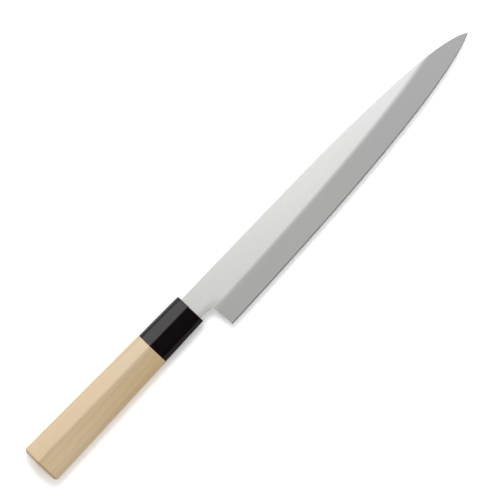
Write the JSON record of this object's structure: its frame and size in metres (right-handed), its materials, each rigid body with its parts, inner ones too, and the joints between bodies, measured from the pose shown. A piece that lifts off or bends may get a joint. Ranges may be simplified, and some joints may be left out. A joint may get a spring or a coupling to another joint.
{
  "type": "yanagiba knife",
  "caption": "Long slender slicing knife with a one-sided bevel, a hollow-ground back, a straight spine falling to the point, and a ridged oval wooden handle with a black ferrule.",
  "frame": {"origin": "centre of the butt face, on the handle's axis", "axes": "+X from the butt to the tip, +Y towards the spine, +Z out of the bevelled face"},
  "size_m": [0.3424, 0.0355, 0.0214],
  "materials": {
    "blade_steel": "satin, ground lengthwise on the flat and across the bevel",
    "handle_wood": "bare magnolia, sanded, with fine straight grain along the handle",
    "ferrule_resin": "black moulded resin, satin",
    "bedding_resin": "set amber resin"
  },
  "bodies": {
    "root": {"blade": "blade_steel", "handle_body": "handle_wood", "ferrule": "ferrule_resin", "tang_bedding": "bedding_resin"}
  },
  "joints": []
}
